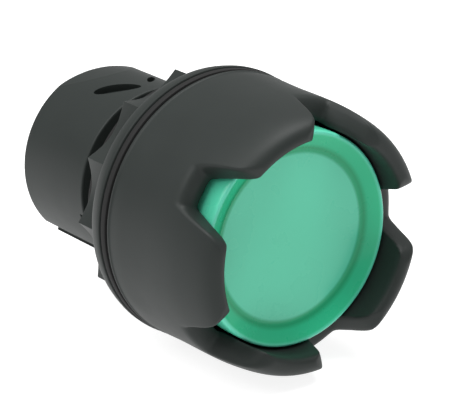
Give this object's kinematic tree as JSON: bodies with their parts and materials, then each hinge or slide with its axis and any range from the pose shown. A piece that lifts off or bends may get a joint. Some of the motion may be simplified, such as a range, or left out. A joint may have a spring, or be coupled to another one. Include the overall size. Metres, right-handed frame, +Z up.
{
  "type": "guarded illuminated push button head",
  "caption": "Round black push-button head with a dished green translucent lens inside a castellated guard ring, and a smooth barrel with a seal ring for panel mounting.",
  "frame": {"origin": "on the button's axis, in the plane of the panel's front face, where the panel gasket seats", "axes": "the lens faces -Y and the barrel runs back along +Y through the panel; +Z is up, +X is to the right seen from the front"},
  "size_m": [0.0324, 0.0432, 0.0324],
  "materials": {
    "black_plastic": "fine-textured black moulded plastic",
    "black_rubber": "soft black seal rubber",
    "green_lens": "translucent green moulded lens, satin",
    "clear_plastic": "clear moulded plastic",
    "opal_plastic": "white opal diffusing plastic",
    "white_plastic": "natural low-friction plastic",
    "steel": "bright spring steel"
  },
  "bodies": {
    "head": {"guard_ring": "black_plastic", "guard_gasket": "black_rubber", "housing": "black_plastic", "coupling_sleeve": "black_plastic", "seal_carrier": "black_plastic", "panel_gasket": "black_rubber", "wiper_seal": "black_rubber", "seal_retainer": "black_plastic", "spring_seat": "steel", "guide_bush": "white_plastic", "bush_snap_ring": "steel", "stop_buffer": "black_rubber", "return_spring": "steel"},
    "button": {"lens_cap": "green_lens", "lens_seal": "black_rubber", "legend_plate": "clear_plastic", "diffuser_disc": "opal_plastic", "plunger": "white_plastic", "light_guide": "clear_plastic", "spring_cup": "steel", "plunger_clip": "steel", "pusher_yoke": "white_plastic", "pusher_left": "white_plastic", "pusher_right": "white_plastic"}
  },
  "joints": [
    {"name": "button_press", "type": "slide", "parent": "head", "child": "button", "axis": [0, 1, 0], "range_m": [0, 0.004], "stiffness_N_per_m": 600, "springref_m": -0.005, "deforming": ["return_spring"]}
  ]
}
